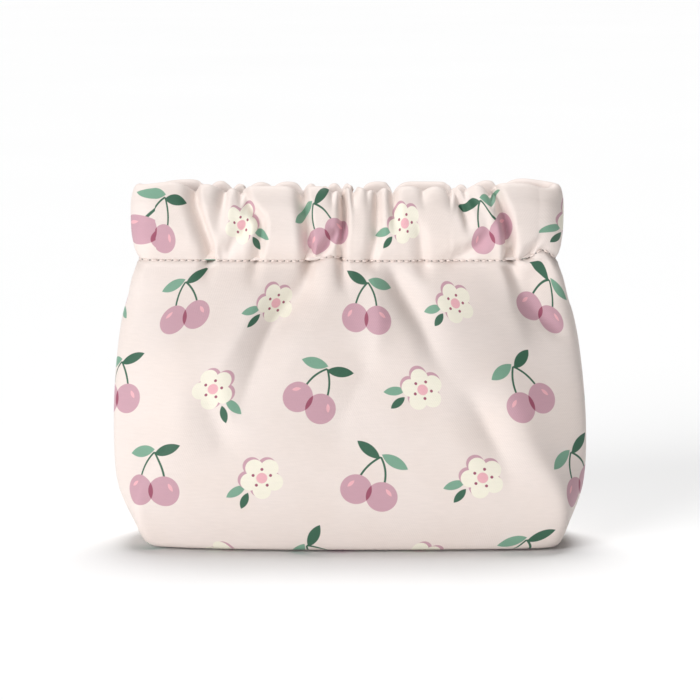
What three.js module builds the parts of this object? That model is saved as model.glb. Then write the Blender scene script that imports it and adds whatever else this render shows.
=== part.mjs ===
// Squeeze-top cosmetic pouch: a boxed cloth bag with a gathered casing on each side of its mouth,
// and a flat spring frame inside the casings that holds the mouth straight.
// Millimetres, +Z up, the front faces -Y, and the origin is the middle of the base on its resting face.
import * as THREE from "three";
import { LoftGeometry } from "three/addons/geometries/LoftGeometry.js";
import { mergeVertices } from "three/addons/utils/BufferGeometryUtils.js";

// Driving dimensions
const BODY_CLOTH = 1.4; // wall of the bag: face cloth and backing together
const CASING_CLOTH = 1.0; // wall of the casings
const GAP = 0.3; // clearance between neighbouring pieces
const SEAM_Z = 81.5; // height of the stitch line between body and casings
const LIP_Z = 103.9; // top of the casings
const END_DROP = 1.3; // how much lower the ends of the mouth stand
const END_FROM = 50; // distance from the middle of the mouth where that drop starts
const END_TO = 60; // and where it is complete
const LIP_DIP = 0.5; // drop of the lip at a crease, as a share of the crease's depth

// Mouth slot, the line that the spring frame follows
const MOUTH_HALF_LENGTH = 57.2;
const MOUTH_END_RADIUS = 3.4;
const MOUTH_BOW = 2.6; // how far each side stands off the straight line between the ends
const MOUTH_LEAN = -0.7; // x of the middle of the mouth

// Spring frame
const SPRING_THICKNESS = 0.5;
const SPRING_WIDTH = 10;
const SPRING_Z = 86.5;

// Resolution
const CASING_STEPS = 44;
const BODY_COLUMNS = 2 * CASING_STEPS;
const OUTLINE_POINTS = 240;
const SPRING_CURVE_STEPS = 8;
const TANGENT_STEP = 1e-4; // share of the mouth's round over which its direction is taken
const MERGE_REACH = 1e-3;

// Body sections. The plan has a front, a slanted facet and a side: corner is the share of the half-width
// where the front ends, squareness how sharp the corners are, slot how far the plan has turned into the
// mouth's slot, and lean the x of its middle.
const SECTIONS = [
  { z: 0, halfWidth: 61.2, halfDepth: 20.4, squareness: 12, corner: 1, slot: 0, lean: 0.8 },
  { z: 8, halfWidth: 64.3, halfDepth: 21.5, squareness: 16, corner: 0.955, slot: 0, lean: 0.45 },
  { z: 18, halfWidth: 66.8, halfDepth: 22.2, squareness: 20, corner: 0.885, slot: 0, lean: 0.1 },
  { z: 31, halfWidth: 67.3, halfDepth: 22.0, squareness: 20, corner: 0.755, slot: 0, lean: 0 },
  { z: 44, halfWidth: 67, halfDepth: 20.5, squareness: 16, corner: 0.705, slot: 0.05, lean: -0.2 },
  { z: 57, halfWidth: 65.9, halfDepth: 17.4, squareness: 10, corner: 0.7, slot: 0.2, lean: -0.4 },
  { z: 68, halfWidth: 63.9, halfDepth: 13.3, squareness: 6, corner: 0.72, slot: 0.45, lean: -0.6 },
  { z: 76, halfWidth: 61.7, halfDepth: 10.3, squareness: 4, corner: 0.78, slot: 0.75, lean: -0.7 },
  { z: 81.5, halfWidth: 59.1, halfDepth: 7.9, squareness: 3, corner: 0.85, slot: 1, lean: -0.7 },
];
const SIDE_SHARE = 0.5; // share of the depth that the flat of a side takes
const FRONT_BOW = 0.12; // how much nearer the middle plane the front's ends lie, as a share of the depth

// Foot, from the flat base out and up to the wall. Its rim stands a little off the floor.
const FOOT = [
  { inset: 11, z: 0 },
  { inset: 5.5, z: 0.75 },
  { inset: 1.5, z: 1.5 },
  { inset: 0.25, z: 2.3 },
];
const WALL_ROWS = [4, 10, 17, 25, 33, 41, 48.5, 55.5, 61.5, 66.5, 70.8, 74.4, 77.4, 79.7];

// Casing section from the stitch line, rise 0, to the lip, rise 1. outer and inner are distances from the
// mouth's slot, away from the mouth. puff is added on the outside of the long sides. innerTake is how much
// of a crease's depth the mouth's side takes.
const CASING_SECTION = [
  { rise: 0, outer: 1.9, puff: 0, inner: -0.4, innerTake: 1 },
  { rise: 0.1, outer: 3.0, puff: 0.8, inner: -1.0, innerTake: 0.4 },
  { rise: 0.3, outer: 3.8, puff: 1.6, inner: -1.6, innerTake: 0 },
  { rise: 0.56, outer: 4.1, puff: 1.6, inner: -1.7, innerTake: 0 },
  { rise: 0.8, outer: 4.0, puff: 1.4, inner: -1.3, innerTake: 0 },
  { rise: 0.95, outer: 3.2, puff: 0.2, inner: -0.1, innerTake: 0.1 },
];
const LIP_OFFSET = 1.6;
const LIP_TAKE = 0.55;
const TUNNEL_LEAST = 0.15; // half the thickness of the tunnel where its two walls meet

// Creases of the front from their upper end to their lower end, with the width of the slope on each side.
// A valley draws the cloth in by its depth, and a ridge has a depth below zero.
const CREASES = [
  { x: -43.8, z: 104, depth: 2.8, toX: -39.2, toZ: 86, toDepth: 2.8, left: 3.5, right: 3 },
  { x: -39.2, z: 86, depth: 2.8, toX: -41.2, toZ: 75, toDepth: 0, left: 3.5, right: 3 },
  { x: -34.8, z: 104, depth: 2.6, toX: -37.2, toZ: 91, toDepth: 0.8, left: 3, right: 3 },
  { x: -27.5, z: 93.5, depth: 0.6, toX: -35.5, toZ: 83.2, toDepth: 1.8, left: 3, right: 3 },
  { x: -31.2, z: 104, depth: 2.6, toX: -24.4, toZ: 93, toDepth: 2.4, left: 3, right: 3 },
  { x: -24.4, z: 93, depth: 2.4, toX: -26.2, toZ: 80, toDepth: 2.2, left: 3, right: 3 },
  { x: -13.6, z: 104, depth: 2.8, toX: -11.2, toZ: 81.5, toDepth: 2.8, left: 3.5, right: 3 },
  { x: -12, z: 79.5, depth: 2.8, toX: -21.8, toZ: 63.5, toDepth: 4.6, left: 6, right: 6 },
  { x: -21.8, z: 63.5, depth: 4.6, toX: -33, toZ: 36, toDepth: 0, left: 7, right: 7 },
  { x: -2.6, z: 104, depth: 2.8, toX: -2, toZ: 81.5, toDepth: 2.8, left: 3, right: 3 },
  { x: -2, z: 81.5, depth: 2.8, toX: -2.2, toZ: 73, toDepth: 0, left: 3.5, right: 3.5 },
  { x: 7.6, z: 104, depth: 2.4, toX: 5.8, toZ: 82, toDepth: 2, left: 3.5, right: 3 },
  { x: 12, z: 104, depth: 2.4, toX: 13, toZ: 90, toDepth: 0.3, left: 3, right: 3 },
  { x: 11, z: 80, depth: 2.6, toX: 17.2, toZ: 68.5, toDepth: 3.4, left: 3.5, right: 6 },
  { x: 17.2, z: 68.5, depth: 3.4, toX: 26.5, toZ: 52, toDepth: 0.4, left: 4.5, right: 6 },
  { x: 6, z: 79, depth: -1, toX: 8.5, toZ: 66, toDepth: -2, left: 5, right: 4.5 },
  { x: 19, z: 93, depth: 0.4, toX: 20.4, toZ: 80, toDepth: 2.1, left: 3.5, right: 3 },
  { x: 27.4, z: 104, depth: 2.8, toX: 33.4, toZ: 91, toDepth: 1, left: 3, right: 3 },
  { x: 39.6, z: 91, depth: 0.6, toX: 28, toZ: 82, toDepth: 2, left: 3, right: 3 },
  { x: 38.8, z: 104, depth: 2.9, toX: 45.2, toZ: 81.5, toDepth: 2.9, left: 3, right: 3 },
  { x: 45.2, z: 81.5, depth: 2.9, toX: 46.4, toZ: 77, toDepth: 3.6, left: 3, right: 5 },
  { x: 46.4, z: 77, depth: 3.6, toX: 50, toZ: 70, toDepth: 5, left: 3.5, right: 7 },
  { x: 50, z: 70, depth: 5, toX: 59, toZ: 61.5, toDepth: 1.8, left: 5, right: 7 },
  { x: 54.4, z: 89.5, depth: 0.6, toX: 49.6, toZ: 81, toDepth: 2.2, left: 3, right: 3 },
  { x: 30, z: 47, depth: 0.4, toX: 38.5, toZ: 35.6, toDepth: 2.6, left: 6, right: 6 },
  { x: 38.5, z: 35.6, depth: 2.6, toX: 46, toZ: 20, toDepth: 0.3, left: 6, right: 5 },
  { x: -40, z: 42, depth: 1.4, toX: -36, toZ: 33, toDepth: 1.4, left: 6, right: 6 },
  { x: 4.2, z: 51.7, depth: 1.5, toX: -3.3, toZ: 37, toDepth: 0.8, left: 8, right: 8 },
];

// Broad slopes on which the creases of the front lie. They fade out towards the stitch line.
const SLOPES = [
  { x: 46, z: 80, depth: 1.6, toX: 48, toZ: 66, toDepth: 3, left: 18, right: 11 },
  { x: 48, z: 66, depth: 3, toX: 46, toZ: 44, toDepth: 0, left: 18, right: 11 },
];
const SLOPE_FADE_Z = 75; // height above which they fade
const CREASE_TURN = 0.2; // distance from a crease within which its two slopes change over

// Places where a pucker raises the stitch line, with their height and half-width
const LIFTS = [
  { x: -5.4, height: 1.3, width: 3.0 },
  { x: 54.9, height: 3.0, width: 3.4 },
];

// Looks
const CLOTH = { color: 0xefdfd8, roughness: 0.62, metalness: 0 };
const STEEL = { color: 0xb9bcc0, roughness: 0.35, metalness: 1 };

const bell = (distance, width) => Math.exp(-((distance / width) ** 2));
const smooth = THREE.MathUtils.smoothstep;
const mix = THREE.MathUtils.lerp;

// One column of the body's sections at height z, on a smooth curve through its rows.
function sectionAt(name, z) {
  const last = SECTIONS.length - 1;
  const found = SECTIONS.findIndex((row) => row.z >= z);
  const i = found < 0 ? last : Math.max(found, 1);
  const slopeAt = (k) => {
    const before = SECTIONS[Math.max(k - 1, 0)];
    const after = SECTIONS[Math.min(k + 1, last)];
    return (after[name] - before[name]) / (after.z - before.z);
  };
  const [low, high] = [SECTIONS[i - 1], SECTIONS[i]];
  const span = high.z - low.z;
  const t = (z - low.z) / span;
  return (
    low[name] * (1 + 2 * t) * (1 - t) ** 2 +
    slopeAt(i - 1) * span * t * (1 - t) ** 2 +
    high[name] * t * t * (3 - 2 * t) +
    slopeAt(i) * span * t * t * (t - 1)
  );
}

// A slot with round ends and sides that bow outwards, from its left end round by the front.
function mouthSlot(inset) {
  const end = MOUTH_END_RADIUS - inset;
  const centre = MOUTH_HALF_LENGTH - MOUTH_END_RADIUS;
  const bowed = end + 2 * MOUTH_BOW;
  const slot = new THREE.Shape();
  slot.absarc(-centre, 0, end, Math.PI, 1.5 * Math.PI);
  slot.quadraticCurveTo(0, -bowed, centre, -end);
  slot.absarc(centre, 0, end, -0.5 * Math.PI, 0.5 * Math.PI);
  slot.quadraticCurveTo(0, bowed, -centre, end);
  slot.absarc(-centre, 0, end, 0.5 * Math.PI, Math.PI);
  return slot;
}
const MOUTH = mouthSlot(0);

// A place at share s of the way round the slot: its point, the way out from the mouth, how squarely that
// faces the front or the back, and its x on the front, because the back repeats the front turned round.
function mouthPlace(s) {
  const point = MOUTH.getPoint(s);
  const [behind, ahead] = [Math.max(s - TANGENT_STEP, 0), Math.min(s + TANGENT_STEP, 1)];
  const run = MOUTH.getPoint(ahead).sub(MOUTH.getPoint(behind)).normalize();
  const x = MOUTH_LEAN + (point.y > 0 ? -point.x : point.x);
  return { point, outward: new THREE.Vector2(run.y, -run.x), facing: Math.abs(run.x), x };
}

// How far one crease draws the cloth in at x, z of the front.
function drawnBy(row, x, z) {
  const run = new THREE.Vector2(row.toX - row.x, row.toZ - row.z);
  const aside = new THREE.Vector2(x - row.x, z - row.z);
  const t = THREE.MathUtils.clamp(aside.dot(run) / run.lengthSq(), 0, 1);
  aside.addScaledVector(run, -t);
  const away = aside.length();
  const width = mix(row.left, row.right, (1 + aside.x / (away + CREASE_TURN)) / 2);
  return mix(row.depth, row.toDepth, t) * bell(away, width);
}

// How far all the creases draw it in there: the deepest valley, the highest ridge and the slope below them.
function creaseDepth(x, z) {
  const drawn = CREASES.map((row) => drawnBy(row, x, z));
  const slope = Math.max(...SLOPES.map((row) => drawnBy(row, x, z)));
  return Math.max(...drawn, 0) + Math.min(...drawn, 0) + slope * (1 - smooth(z, SLOPE_FADE_Z, SEAM_Z));
}

// A point at height z, off the slot by offset.
function placed({ point, outward }, offset, z) {
  const at = point.clone().addScaledVector(outward, offset);
  return new THREE.Vector3(at.x + MOUTH_LEAN, at.y, z);
}

// The stitch line is level except for its puckers.
function seamHeight({ x, facing }) {
  return LIFTS.reduce((z, row) => z + row.height * bell(x - row.x, row.width) * facing, SEAM_Z);
}

// The lip drops towards the ends of the mouth and dips at every crease.
function lipHeight({ x, facing }) {
  const ends = smooth(Math.abs(x - MOUTH_LEAN), END_FROM, END_TO);
  return LIP_Z - END_DROP * ends - LIP_DIP * creaseDepth(x, LIP_Z) * facing;
}

// The plain outline of the body at height z, with no creases, as points spread evenly round it.
function bodyOutline(z) {
  const halfWidth = sectionAt("halfWidth", z);
  const halfDepth = sectionAt("halfDepth", z);
  const power = sectionAt("squareness", z);
  const corner = sectionAt("corner", z);
  const slot = sectionAt("slot", z);
  const lean = sectionAt("lean", z);
  const slant = (1 - corner) / (1 - SIDE_SHARE);
  const boxed = [];
  for (let i = 0; i < OUTLINE_POINTS; i++) {
    const angle = Math.PI + (2 * Math.PI * i) / OUTLINE_POINTS;
    const [c, s] = [Math.cos(angle), Math.sin(angle)];
    const front = Math.abs(s) / halfDepth;
    const side = Math.abs(c) / halfWidth;
    const facet = (side + slant * front) / (corner + slant);
    const reach = (side ** power + facet ** power + front ** power) ** (-1 / power);
    const bow = 1 - FRONT_BOW * ((reach * c) / halfWidth) ** 2;
    boxed.push(new THREE.Vector3(reach * c, reach * s * bow, z));
  }
  const round = new THREE.CatmullRomCurve3(boxed, true).getSpacedPoints(BODY_COLUMNS);
  const flat = MOUTH.getSpacedPoints(BODY_COLUMNS);
  const [wide, deep] = [halfWidth / MOUTH_HALF_LENGTH, halfDepth / (MOUTH_END_RADIUS + MOUTH_BOW)];
  return round.slice(0, BODY_COLUMNS).map((p, i) => {
    const x = mix(p.x, flat[i].x * wide, slot) + lean;
    return new THREE.Vector3(x, mix(p.y, flat[i].y * deep, slot), z);
  });
}

// One closed ring of the body's wall at height z. The creases draw it towards the middle plane, and inset
// moves it inwards.
function bodyRing(z, inset) {
  const lean = sectionAt("lean", z);
  const halfDepth = sectionAt("halfDepth", z);
  const outline = bodyOutline(z);
  return outline.map((p, i) => {
    const before = outline[(i + BODY_COLUMNS - 1) % BODY_COLUMNS];
    const after = outline[(i + 1) % BODY_COLUMNS];
    const outward = new THREE.Vector3(after.y - before.y, before.x - after.x, 0).normalize();
    const x = p.y > 0 ? 2 * lean - p.x : p.x; // the back repeats the front's creases, turned round
    const drawn = 1 - creaseDepth(x, z) / halfDepth;
    return new THREE.Vector3(p.x, p.y * drawn, z).addScaledVector(outward, -inset);
  });
}

// One closed ring of the foot at height z: the outline drawn in evenly towards its middle.
function footRing(z, inset) {
  const lean = sectionAt("lean", z);
  const along = 1 - inset / sectionAt("halfWidth", z);
  const across = 1 - inset / sectionAt("halfDepth", z);
  return bodyOutline(z).map((p) => new THREE.Vector3(mix(lean, p.x, along), p.y * across, z));
}

// The body's rim under the stitch line, where it follows the casings.
function rimRing(inset) {
  return Array.from({ length: BODY_COLUMNS }, (_, i) => {
    const place = mouthPlace(i / BODY_COLUMNS);
    const offset = CASING_SECTION[0].outer - inset - creaseDepth(place.x, SEAM_Z) * place.facing;
    return placed(place, offset, seamHeight(place) - GAP / 2);
  });
}

function ringPoint(z) {
  const middle = new THREE.Vector3(sectionAt("lean", z), 0, z);
  return Array.from({ length: BODY_COLUMNS }, () => middle.clone());
}

// A loft as one closed body: shared vertices are merged, and triangles that collapsed to a line are dropped.
function closedLoft(sections) {
  const loft = new THREE.BufferGeometry().copy(new LoftGeometry(sections));
  loft.deleteAttribute("normal");
  loft.deleteAttribute("uv");
  const merged = mergeVertices(loft, MERGE_REACH);
  const kept = [];
  const index = merged.index.array;
  for (let i = 0; i < index.length; i += 3) {
    const [a, b, c] = index.subarray(i, i + 3);
    if (a !== b && b !== c && c !== a) kept.push(a, b, c);
  }
  merged.setIndex(kept);
  merged.computeVertexNormals();
  return merged;
}

// The bag below the stitch line: base, front, back and sides, open at the top.
function bodyGeometry() {
  const outside = [
    ...FOOT.map((row) => footRing(row.z, row.inset)),
    ...WALL_ROWS.map((z) => bodyRing(z, 0)),
  ];
  const inside = [
    ...FOOT.map((row) => footRing(row.z + BODY_CLOTH, row.inset + BODY_CLOTH)),
    ...WALL_ROWS.slice(1).map((z) => bodyRing(z, BODY_CLOTH)),
  ];
  return closedLoft([
    ringPoint(0),
    ...outside,
    rimRing(0),
    rimRing(BODY_CLOTH),
    ...inside.reverse(),
    ringPoint(BODY_CLOTH),
  ]);
}

// One cross-section of a casing tunnel at share s of the way round the mouth: up its mouth's side to the
// lip, then down its outside. shrink moves it in from the outer skin of the cloth.
function casingSection(s, shrink) {
  const place = mouthPlace(s);
  const { x, facing } = place;
  const low = seamHeight(place) + GAP / 2 + shrink;
  const high = lipHeight(place) - shrink;
  const mouthSide = [];
  const outside = [];
  for (const row of CASING_SECTION) {
    const z = mix(low, high, row.rise);
    const drawn = creaseDepth(x, z) * facing;
    const outer = row.outer + row.puff * facing - drawn;
    const inner = row.inner - row.innerTake * drawn;
    const middle = (outer + inner) / 2;
    const half = Math.max((outer - inner) / 2 - shrink, TUNNEL_LEAST);
    mouthSide.push(placed(place, middle - half, z));
    outside.unshift(placed(place, middle + half, z));
  }
  const lip = placed(place, LIP_OFFSET - LIP_TAKE * creaseDepth(x, high) * facing, high);
  return [...mouthSide, lip, ...outside];
}

// A gathered cloth tunnel along one side of the mouth, open at both ends. from and to are shares of the
// mouth's round. The mouth's side of an end has a smaller arc, so the gap there needs a larger share.
function casingGeometry(from, to) {
  const innermost = Math.min(...CASING_SECTION.map((row) => row.inner));
  const trim = (GAP / 2 / MOUTH.getLength()) * (MOUTH_END_RADIUS / (MOUTH_END_RADIUS + innermost));
  const stepAt = (i) => mix(from + trim, to - trim, i / CASING_STEPS);
  const places = Array.from({ length: CASING_STEPS + 1 }, (_, i) => stepAt(i));
  const outside = places.map((s) => casingSection(s, 0));
  const inside = places.map((s) => casingSection(s, CASING_CLOTH)).reverse();
  return closedLoft([...outside, ...inside, outside[0]]);
}

// The spring frame, a flat steel band standing on edge round the mouth.
function springGeometry() {
  const band = mouthSlot(-SPRING_THICKNESS / 2);
  band.holes.push(mouthSlot(SPRING_THICKNESS / 2));
  const options = { depth: SPRING_WIDTH, bevelEnabled: false, curveSegments: SPRING_CURVE_STEPS };
  return new THREE.ExtrudeGeometry(band, options);
}

function piece(name, geometry, look) {
  const mesh = new THREE.Mesh(geometry, new THREE.MeshStandardMaterial(look));
  mesh.name = name;
  return mesh;
}

const pouch = new THREE.Group();
pouch.add(piece("pouch_body", bodyGeometry(), CLOTH));
pouch.add(piece("front_casing", casingGeometry(0, 0.5), CLOTH));
pouch.add(piece("back_casing", casingGeometry(0.5, 1), CLOTH));
const spring = piece("spring_frame", springGeometry(), STEEL);
spring.position.set(MOUTH_LEAN, 0, SPRING_Z);
pouch.add(spring);

export default pouch;
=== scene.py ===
"""Looks of the squeeze-top cosmetic pouch: its gathered cloth, its stitches and its printed pattern."""

import math

import bpy
import numpy as np
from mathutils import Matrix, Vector


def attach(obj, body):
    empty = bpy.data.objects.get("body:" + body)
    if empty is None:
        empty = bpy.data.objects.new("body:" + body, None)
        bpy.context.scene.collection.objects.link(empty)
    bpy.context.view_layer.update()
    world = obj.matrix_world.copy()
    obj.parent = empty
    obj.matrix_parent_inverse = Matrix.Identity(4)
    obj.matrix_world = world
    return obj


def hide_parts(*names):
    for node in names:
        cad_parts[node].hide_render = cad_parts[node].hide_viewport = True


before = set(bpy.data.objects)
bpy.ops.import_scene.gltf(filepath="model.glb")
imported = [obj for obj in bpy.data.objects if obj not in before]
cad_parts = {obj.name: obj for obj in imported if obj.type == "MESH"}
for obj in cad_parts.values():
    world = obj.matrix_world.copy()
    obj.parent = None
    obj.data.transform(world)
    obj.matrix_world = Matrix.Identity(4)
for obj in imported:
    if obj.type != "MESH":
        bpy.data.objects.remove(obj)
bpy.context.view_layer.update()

MM = 0.001

# Thickness of the cloth in mm, less than that of the solids' walls
CLOTH = 0.9
CASING_CLOTH = 0.55

# Heights of the stitch line and the lip in mm. The lip drops at its ends and sags in its middle, each over a
# stretch of distances from the middle, and it dips at a crease by a share of the crease's depth.
SEAM_Z = 81.5
LIP_Z = 103.9
END_DROP = 1.3
END_FROM_TO = (50, 60)
LIP_SAG = 1.1
SAG_FROM_TO = (26, 54)
LIP_DIP = 0.8

# Mouth in mm: a slot with round ends and long sides that bow out, and the steps of its polyline
MOUTH_HALF_LENGTH = 57.2
MOUTH_END_RADIUS = 3.4
MOUTH_BOW = 2.6
MOUTH_LEAN = -0.7
MOUTH_ARC_STEPS = 60
MOUTH_SIDE_STEPS = 600

# Body sections in mm: each plan has a front, a slanted facet and a flat side. corner is the share of the
# half-width where the front ends, squareness how sharp the corners are, slot how far the plan has turned
# into the mouth's slot, and lean how far its middle lies to the right.
SECTIONS = {
    "z": (0, 8, 18, 31, 44, 57, 68, 76, 81.5),
    "half_width": (61.2, 64.3, 66.8, 67.3, 67.0, 65.9, 64.7, 62.8, 59.6),
    "half_depth": (20.4, 21.5, 22.2, 22.0, 20.5, 17.4, 13.3, 10.3, 7.9),
    "squareness": (12, 24, 40, 50, 40, 14, 6, 4, 3),
    "corner": (1.0, 0.955, 0.885, 0.755, 0.705, 0.70, 0.72, 0.78, 0.85),
    "slot": (0, 0, 0, 0, 0.05, 0.2, 0.45, 0.75, 1),
    "lean": (0.8, 0.45, 0.1, 0, -0.2, -0.4, -0.6, -0.7, -0.7),
}

# Share of the depth by which the front lies back at its ends, and share of it that the flat side takes
FRONT_BOW = 0.12
SIDE_SHARE = 0.5

# Steps of an outline's polyline, and the share of the outline over which its direction is taken
OUTLINE_STEPS = 1440
DIRECTION_STEP = 4e-4

# Foot from the flat base out and up to the wall: inset from the wall and height in mm.
# Its rim stands a little off the floor.
FOOT = {
    "inset": (11, 8.5, 5.5, 3.0, 1.5, 0.7, 0.25, 0.05, 0),
    "z": (0, 0.15, 0.4, 0.65, 0.85, 1.1, 1.6, 2.3, 3.3),
}

# Section of a casing from the stitch line up its outer face, over the lip and down to the hem inside:
# rise is the share of the casing's height, offset the distance from the mouth's line, away from the mouth,
# and share how much of a crease's depth the cloth takes there.
CASING_PROFILE = {
    "rise": (0, 0.06, 0.16, 0.34, 0.56, 0.78, 0.91, 0.98, 1.0, 0.975, 0.90, 0.75, 0.50, 0.25, 0.08, 0),
    "offset": (1.9, 2.7, 3.4, 3.9, 4.1, 4.0, 3.6, 2.8, 1.6, 0.3, -0.7, -1.4, -1.7, -1.3, -0.4, 0.8),
    "share": (0.9, 0.97, 1, 1, 1, 1, 0.97, 0.86, 0.68, 0.52, 0.42, 0.28, 0.1, 0.1, 0.65, 0.9),
}

# The outer face puffs out by this many mm, in full from one share of its height and less again from another
CASING_PUFF = 1.6
PUFF_FULL_FROM = 0.4
PUFF_LESS_FROM = 0.75

# Creases of the front as they lie in the photo, each a path of points in mm: x, z, depth, below zero for a
# ridge, and the slope's width on the left and on the right. Those of the body fade out at the stitch line.
CASING_CREASES = (
    ((-43.8, 105, 3.4, 4.4, 1.6), (-42.6, 96.5, 3.8, 4.4, 1.6),
     (-40.8, 91, 4, 4.4, 1.6), (-39.2, 86, 4.2, 4, 1.6)),
    ((-39.2, 86, 4.2, 4, 1.6), (-39.2, 81.5, 3.8, 3.6, 1.6), (-41.2, 75, 0, 4, 3)),
    ((-34.8, 105, 3, 4, 1.8), (-35.8, 97, 2.6, 4, 2), (-37.2, 91, 0.8, 4, 3)),
    ((-27.5, 93.5, 0.6, 5, 3), (-29.5, 90.5, 2.2, 5, 3),
     (-32, 87, 2.2, 5, 3), (-35.5, 83.2, 1.6, 4.5, 3)),
    ((-31.2, 105, 3.2, 2.4, 1.8), (-28, 97.5, 3, 2.6, 1.8),
     (-24.4, 93, 2.6, 3.4, 1.8), (-24.8, 87.5, 3, 3.4, 1.8)),
    ((-24.8, 87.5, 3, 3.4, 1.8), (-26.2, 81.5, 2.6, 3, 1.8), (-28.6, 74, 0, 4, 4)),
    ((-13.6, 105, 3.8, 3.2, 1.4), (-12.4, 97, 4.4, 3.4, 1.4),
     (-11.8, 91, 5, 3.4, 1.4), (-11.2, 85, 5.2, 3.6, 1.4)),
    ((-11.2, 85, 5.2, 3.6, 1.4), (-11.2, 80, 4.8, 4, 1.6), (-13, 75, 2.4, 5, 4)),
    ((-5, 105, 3, 1.8, 1.6), (-4.4, 99, 0.3, 2, 2)),
    ((-2.6, 105, 4, 2, 1.3), (-1.6, 99, 5, 2.2, 1.3), (-1.5, 93, 5, 2.4, 1.3), (-2, 89, 4.6, 2.4, 1.4)),
    ((-2, 89, 4.6, 2.4, 1.4), (-2.6, 85, 4.4, 2.2, 1.4), (-1.8, 78, 2.8, 2.4, 1.6), (-2.2, 73, 0, 3, 3)),
    ((-1.8, 92, 3, 2.4, 1.6), (-4.4, 88.6, 3.2, 2.4, 1.8),
     (-7.4, 85, 3, 2.4, 1.8), (-9.8, 81.5, 2, 2.4, 1.8)),
    ((0.9, 105, 2.8, 1.6, 1.5), (1.4, 97, 0.3, 2, 1.8)),
    ((5, 105, 2.6, 1.6, 1.6), (5, 100, 0.2, 1.6, 1.6)),
    ((7.6, 105, 2.8, 2.6, 1.8), (7.6, 96, 3, 3.4, 2), (7.5, 88, 3.2, 3.6, 2), (5.8, 82, 2.4, 3, 2.4)),
    ((12, 105, 3.2, 2.4, 1.8), (12.4, 95, 1.8, 2.6, 2), (13, 90, 0.2, 3, 3)),
    ((19, 93, 0.4, 4, 2.4), (20, 87, 1.9, 4.4, 2.2), (20.4, 81.5, 2.2, 4, 2.2), (21, 76, 0, 4, 3)),
    ((20.6, 105, 2.4, 2, 2), (20.2, 100, 0.3, 2, 2)),
    ((27.4, 105, 3.2, 2, 1.4), (30.6, 98, 3.2, 2, 1.5),
     (32.6, 94.5, 2.8, 2.2, 1.6), (33.4, 91, 0.6, 2.4, 2)),
    ((39.6, 91, 0.4, 3, 2.4), (38.6, 88.6, 2.2, 3.6, 2.4),
     (35.8, 85.8, 2.8, 4, 2.4), (31.6, 83.4, 2.6, 3.6, 2.2)),
    ((31.6, 83.4, 2.6, 3.6, 2.2), (27.5, 81.6, 0.8, 3, 2.2)),
    ((31.4, 105, 3, 2, 1.6), (34.6, 99, 1.4, 2.2, 1.8), (36, 96.5, 0.2, 2.2, 2)),
    ((38.8, 105, 4.2, 3, 2), (41.6, 99, 5.2, 3, 2), (43.8, 93, 5.6, 3, 2), (45, 87.5, 5.6, 3, 2)),
    ((45, 87.5, 5.6, 3, 2), (45.2, 81.5, 5.2, 3, 2.4), (46.4, 77, 4.6, 3.4, 8)),
    ((37, 105, -0.6, 4, 2), (41.2, 93.2, -1, 4, 2), (43, 81.5, -0.8, 3, 2)),
    ((56, 104, 2.6, 1.8, 1.6), (58.4, 97.5, 0.3, 2, 1.8)),
    ((57.5, 105, 2.6, 15, 3), (57.5, 82, 2.6, 15, 3)),
    ((54.4, 89.5, 0.6, 3, 3), (53.4, 87.4, 2, 4, 2.2), (51.5, 84.2, 3.4, 4, 2), (49.6, 81, 2.4, 3, 2.4)),
    ((55, 87.5, 1.4, 2.4, 2.4), (57, 84, 2.8, 2.4, 2.4), (58.4, 81, 2, 2.4, 2.4)),
)
BODY_CREASES = (
    ((-12, 79.5, 3, 6, 6), (-13.6, 73.8, 4, 9, 8),
     (-17.6, 68.9, 4.6, 9.5, 9), (-21.8, 63.5, 4.6, 9.5, 9)),
    ((-21.8, 63.5, 4.6, 9.5, 9), (-24.8, 57.5, 3.6, 10, 10),
     (-28, 49.3, 2, 10, 10), (-33, 35.6, 0, 10, 10)),
    ((-22, 77, -0.4, 12, 6), (-27, 68, -1.6, 16, 7), (-33, 58, -1.4, 16, 8), (-40, 46, 0, 16, 10)),
    ((11, 80.5, 3, 3.4, 6), (14, 74, 3.2, 4, 8), (17.2, 68.5, 3.4, 4.6, 9), (20.2, 63.5, 2.8, 5, 9)),
    ((20.2, 63.5, 2.8, 5, 9), (22.8, 57.5, 1.8, 6, 9), (26.5, 52, 0.4, 7, 9)),
    ((6, 79, -1, 8, 6), (8.5, 66, -2, 10, 8), (7, 52, 0, 10, 10)),
    ((45.2, 80.5, 4, 3.4, 40), (47.6, 75.5, 4, 4, 60),
     (49.2, 71.5, 3.8, 4.6, 60), (51.6, 68, 3.4, 5.4, 50)),
    ((51.6, 68, 3.4, 5.4, 50), (55, 64.3, 3.8, 6, 9), (59, 61.5, 3.6, 6, 6), (63, 60, 1.5, 6, 6)),
    ((42.8, 79, -0.8, 6, 2.4), (45.2, 70, -1, 6, 2.4), (48, 62, 0, 6, 4)),
    ((30, 47, 0.4, 12, 10), (34.5, 43, 1.6, 10, 10), (38.5, 35.6, 2.6, 10, 10), (42, 28.9, 1.6, 9, 9)),
    ((42, 28.9, 1.6, 9, 9), (46, 20, 0.3, 9, 8)),
    ((-40, 42, 1.4, 10, 10), (-36, 33, 1.4, 10, 10)),
    ((4.2, 51.7, 1.5, 14, 14), (-3.3, 37, 0.8, 14, 14)),
)

# Broad slopes of the front, written in the same way, on which the creases lie
BODY_SLOPES = (
    ((52, 82, 2.0, 36, 80), (52, 66, 3.6, 36, 80), (50, 54, 2.6, 34, 60), (48, 44, 0, 32, 40)),
    ((-58, 56, 0, 90, 40), (-58, 36, 2.6, 90, 40), (-56, 4, 2.6, 90, 40)),
)

# Heights over which the body's creases fade out, the rounding of a crease's bottom, and the distance over
# which a crease's width turns from the left one to the right one, all in mm
BODY_CREASE_FADE = (75, 82)
CREASE_ROUND = 0.45
CREASE_TURN = 0.2

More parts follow.
